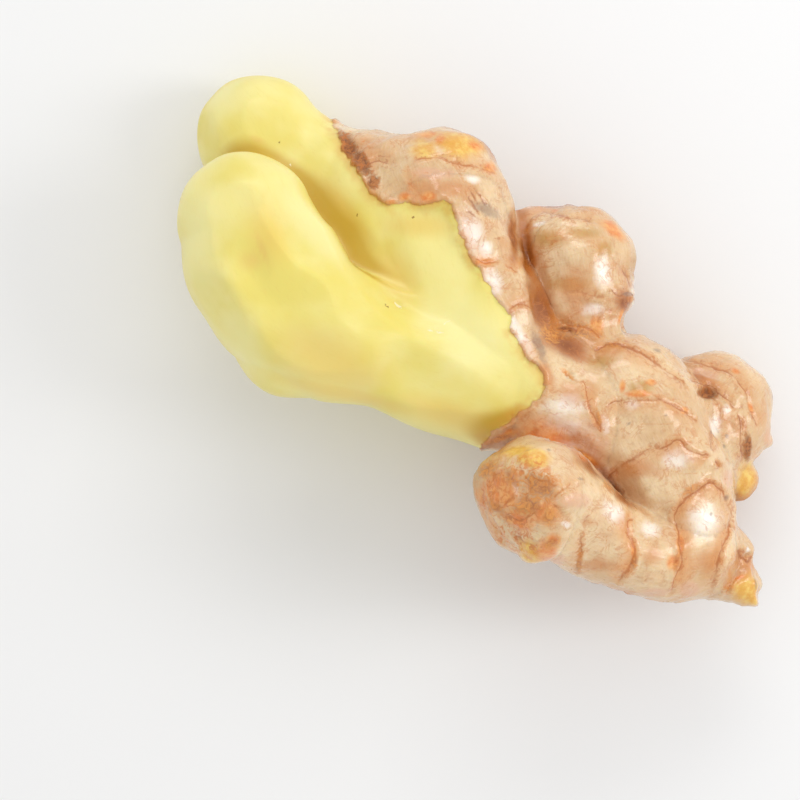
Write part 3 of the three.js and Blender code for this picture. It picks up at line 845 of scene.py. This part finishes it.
def ginger_material():
    n = Nodes("ginger")
    place = n.add("TexCoord", _out=3)
    grain = n.add("Attribute", _out=1, attribute_type="GEOMETRY", attribute_name="grain")
    along = n.add("VectorMath", operation="MULTIPLY", I0=grain, I1=(1.0, 1.0, 0.25))
    around = n.add("VectorMath", operation="MULTIPLY", I0=grain, I1=(0.3, 0.3, 1.6))

    # Object coordinates are in metres, so a scale of 1000 has one cell a millimetre.
    wide = n.noise(place, 45, 3)
    patchy = n.noise(place, 130, 4, 0.6)
    mottle = n.noise(place, 420, 3, 0.6)
    fine = n.noise(place, 1500, 3, 0.6)
    fibres = n.noise(along, 1.7, 3, 0.6)
    wrinkles = n.noise(around, 0.9, 3, 0.6)
    flaky = n.noise(place, 520, 4, 0.6, 1.5)

    def stain(name, low=-0.1, high=0.45, amount=1.0, noise=patchy, push=1.0):
        return n.ramp(n.ragged(n.mark(name), noise, push), low, high, 0.0, amount)

    peel = n.ragged(n.mark("peel"), mottle, 1.4)
    skin = n.ramp(peel, -0.1, 0.1)
    hollow = n.mark("hollow")
    past = n.mark("past")
    ink = n.mark("ink")
    hue = n.mark("hue")

    tan = n.mix(n.ramp(wide, 0.38, 0.62), "D9B486", "EACFA4")
    tan = n.mix(n.ramp(patchy, 0.45, 0.7, 0.0, 0.35), tan, "DAA67C")
    tan = n.mix(n.ramp(mottle, 0.5, 0.75, 0.0, 0.3), tan, "BE8E62")
    tan = n.mix(n.ramp(fibres, 0.52, 0.7, 0.0, 0.22), tan, "EFDDC2")
    tan = n.mix(n.ramp(fibres, 0.46, 0.34, 0.0, 0.18), tan, "BD8D60")
    tan = n.mix(n.ramp(wrinkles, 0.55, 0.75, 0.0, 0.25), tan, "C4946A")
    tan = n.mix(stain("pink", amount=0.5), tan, "DDA588")
    tan = n.mix(stain("olive", -0.3, 0.8, 0.75), tan, "BC8E3E")
    # Painted highlights: the pale marks lighten the skin to near white.
    tan = n.mix(stain("pale_and_highlight", -0.2, 0.8, 0.85, mottle, 0.9), tan, "FAF2E6")
    tan = n.mix(stain("tint", -0.1, 0.8, 0.6), tan, "CB8142")
    # Painted shade, on partly amber skin: the amber marks darken the creases.
    tan = n.mix(stain("amber_and_shade", -0.3, 0.6, 0.85, patchy, 0.7), tan, "A4560F")
    tan = n.mix(stain("amber_and_shade", 0.35, 0.9, 0.8, patchy, 0.7), tan, "8A4508")
    tan = n.mix(n.times(n.ramp(peel, 4.0, 0.3), n.ramp(patchy, 0.4, 0.62), 0.55), tan, "D58C46")

    veins = n.math("ABSOLUTE", n.math("SUBTRACT", n.noise(place, 170, 4, 0.6, 1.2), 0.5))
    tan = n.mix(n.times(n.ramp(veins, 0.045, 0.0), n.ramp(patchy, 0.42, 0.58), 0.45), tan, "C57A3C")

    # The rusty glow beside a ring, wide on the newer side and narrow on the older one.
    ragged_past = n.ragged(past, patchy, 3.0)
    glow = n.times(n.ramp(ragged_past, 5.5, 0.4), n.ramp(ragged_past, -2.0, 0.0), ink)
    tan = n.mix(n.times(glow, 0.7), tan, n.mix(hue, "C4854C", "DE8E3C"))
    # Painted shade: the skin browns where the hand is hollow.
    tan = n.mix(n.ramp(hollow, 0.25, 0.65, 0.0, 0.4), tan, "B5681E")
    yellow = n.mix(n.ramp(mottle, 0.4, 0.7), "E2A63A", "EFCB68")
    tan = n.mix(stain("yellow", -0.2, 0.6, 0.9), tan, yellow)
    orange = n.mix(n.ramp(mottle, 0.38, 0.65), "E07E28", "EEA95C")
    tan = n.mix(stain("orange", -0.2, 0.7, 0.85), tan, orange)
    speckle = n.times(stain("scar", -0.1, 0.4, 0.7), n.ramp(flaky, 0.48, 0.6))
    tan = n.mix(speckle, tan, "D67C34")
    scaly = n.mix(n.ramp(flaky, 0.35, 0.62), "A9561E", "E09C52")
    tan = n.mix(stain("rust", -0.1, 0.7, 0.75, flaky, 1.8), tan, scaly)
    scab = n.mix(n.ramp(flaky, 0.35, 0.62), "6E3412", "B87038")
    tan = n.mix(stain("scab", -0.1, 0.5, 0.85, flaky, 1.4), tan, scab)

    # The ring lines themselves.
    line_place = n.math("ABSOLUTE", n.ragged(past, mottle, 1.3))
    line_width = n.ramp(patchy, 0.3, 0.7, 0.2, 0.65)
    broken_ink = n.ragged(n.ragged(ink, patchy, 1.2), mottle, 0.8)
    line_place = n.math("DIVIDE", line_place, line_width)
    line = n.times(n.ramp(line_place, 1.0, 0.1), n.ramp(broken_ink, 0.15, 0.85))
    tan = n.mix(n.times(line, 0.75), tan, n.mix(hue, "96552A", "C9722C"))
    beside = n.ramp(n.math("ABSOLUTE", past), 2.6, 0.4)
    flecks = n.times(n.ramp(flaky, 0.52, 0.6), beside, n.ramp(ink, 0.1, 0.6))
    tan = n.mix(n.times(flecks, 0.6), tan, n.mix(hue, "A8663A", "D07A32"))
    # Dark grey spots, and painted shade on the larger grey flaps.
    tan = n.mix(stain("grey_and_shade", -0.2, 0.7, 0.6, mottle, 1.0), tan, "8F7563")

    # The flesh has paler and deeper fields, painted light on its edges and crest, ochre with painted
    # shade in its valley and along its lower edge, painted shade in hollows, and is browner towards the
    # peel edge.
    flesh = n.mix(n.ramp(wide, 0.35, 0.65), "E6D670", "EDE190")
    flesh = n.mix(n.ramp(fibres, 0.5, 0.8, 0.0, 0.2), flesh, "DCC566")
    # Warmer ochre fields, with painted shade in the valley and along the lower edge.
    flesh = n.mix(stain("ochre_and_shade", -0.3, 0.9, 0.55, wide, 0.5), flesh, "E4C05E")
    flesh = n.mix(stain("blush", -0.3, 0.9, 0.3, wide, 0.6), flesh, "E0A860")
    # Painted light: paler cream on the flesh's lit edges and crest.
    flesh = n.mix(stain("cream_light", -0.5, 0.9, 0.6, wide, 0.5), flesh, "F1EAA8")
    # Painted shade: the flesh darkens to deep ochre in hollows.
    flesh = n.mix(n.ramp(hollow, 0.25, 0.6, 0.0, 0.8), flesh, "C9A22E")
    flesh = n.mix(n.times(n.ramp(peel, -3.5, -0.2), n.ramp(patchy, 0.4, 0.6), 0.55), flesh, "DDA94E")
    flesh = n.mix(stain("scratch", 0.0, 0.3, 0.7, mottle, 0.4), flesh, "F7F0D0")
    flesh = n.mix(stain("fleck", 0.0, 0.4, 0.8, mottle, 0.3), flesh, "8A6426")

    # A thin browned rim runs where the skin was cut.
    colour = n.mix(skin, flesh, tan)
    rim = n.times(n.ramp(peel, -0.5, 0.0), n.ramp(peel, 0.9, 0.1), n.ramp(patchy, 0.35, 0.6))
    colour = n.mix(n.times(rim, 0.55), colour, "C8843E")
    n.put(n.shader.inputs["Base Color"], colour)

    # Scabs, rust and lines are dull, and the rest of the skin has a waxy gloss.
    rusty = stain("rust", -0.1, 0.7, 0.6, flaky, 1.8)
    scabby = n.math("MAXIMUM", stain("scab", -0.1, 0.5, 1.0, flaky, 1.4), rusty)
    rough = n.ramp(mottle, 0.3, 0.7, 0.27, 0.4)
    rough = n.math("ADD", rough, n.math("MULTIPLY", n.math("ADD", scabby, line, clamp=True), 0.3))
    n.put(n.shader.inputs["Roughness"], n.add("Mix", data_type="FLOAT", I0=skin, I2=0.36, I3=rough))
    gloss = n.times(n.math("SUBTRACT", 1.0, scabby), n.ramp(hollow, 0.6, 0.2), skin)
    n.put(n.shader.inputs["Coat Weight"], n.ramp(gloss, 0.0, 1.0, 0.08, 0.65))
    n.shader.inputs["Coat Roughness"].default_value = 0.12
    n.shader.inputs["IOR"].default_value = 1.4
    n.shader.inputs["Subsurface Weight"].default_value = 0.18
    n.shader.inputs["Subsurface Radius"].default_value = (1.0, 0.55, 0.2)
    n.shader.inputs["Subsurface Scale"].default_value = 0.003

    # Fibres, wrinkles, flakes and the skin's edge stand up by fractions of a millimetre.
    streaks = n.math("ADD", n.times(fibres, 0.8), n.times(wrinkles, 0.8))
    relief = n.math("ADD", n.times(fine, 0.3), streaks)
    relief = n.times(n.math("ADD", relief, n.times(scabby, flaky, 3.0)), skin)
    relief = n.math("ADD", relief, n.math("MULTIPLY_ADD", skin, 1.6, n.times(mottle, 0.25)))
    n.put(n.shader.inputs["Normal"], n.add("Bump", Strength=0.5, Distance=0.0003, Height=relief))
    return n.material


def make_ginger():
    piece = write_piece("ginger_dressed", *dressed_hand())
    piece.data.materials.append(ginger_material())
    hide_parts("ginger_root")
    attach(piece, "root")


def make_camera():
    data = bpy.data.cameras.new("camera")
    data.sensor_width = SENSOR
    data.lens = SENSOR * (CAMERA[2] - MIDDLE_HEIGHT) / (PICTURE * PIXEL)
    data.clip_start = 0.01
    camera = bpy.data.objects.new("camera", data)
    camera.location = CAMERA * MM
    bpy.context.scene.collection.objects.link(camera)
    bpy.context.scene.camera = camera


def make_floor():
    mesh = bpy.data.meshes.new("floor")
    half = 3.0
    corners = [(-half, -half, 0), (half, -half, 0), (half, half, 0), (-half, half, 0)]
    mesh.from_pydata(corners, [], [(0, 1, 2, 3)])
    floor = bpy.data.objects.new("floor", mesh)
    bpy.context.scene.collection.objects.link(floor)
    n = Nodes("floor_paint")
    n.put(n.shader.inputs["Base Color"], (0.86, 0.86, 0.86, 1.0))
    n.put(n.shader.inputs["Roughness"], 0.8)
    floor.data.materials.append(n.material)


def make_light(name, place, size, power):
    data = bpy.data.lights.new(name, "AREA")
    data.shape = "RECTANGLE"
    data.size, data.size_y = size
    data.energy = power
    light = bpy.data.objects.new(name, data)
    light.location = place
    light.rotation_euler = Vector(place).to_track_quat("Z", "Y").to_euler()
    bpy.context.scene.collection.objects.link(light)


def make_world():
    world = bpy.data.worlds.new("studio")
    world.use_nodes = True
    world.node_tree.nodes["Background"].inputs["Color"].default_value = (1.0, 1.0, 1.0, 1.0)
    world.node_tree.nodes["Background"].inputs["Strength"].default_value = 0.84
    bpy.context.scene.world = world


make_camera()
make_floor()
make_world()
make_light("right_window", (0.80, 0.05, 0.60), (0.3, 0.6), 2.6)
make_light("back_window", (0.05, 0.80, 0.60), (0.6, 0.3), 2.0)
bpy.context.scene.view_settings.view_transform = "Standard"

make_ginger()
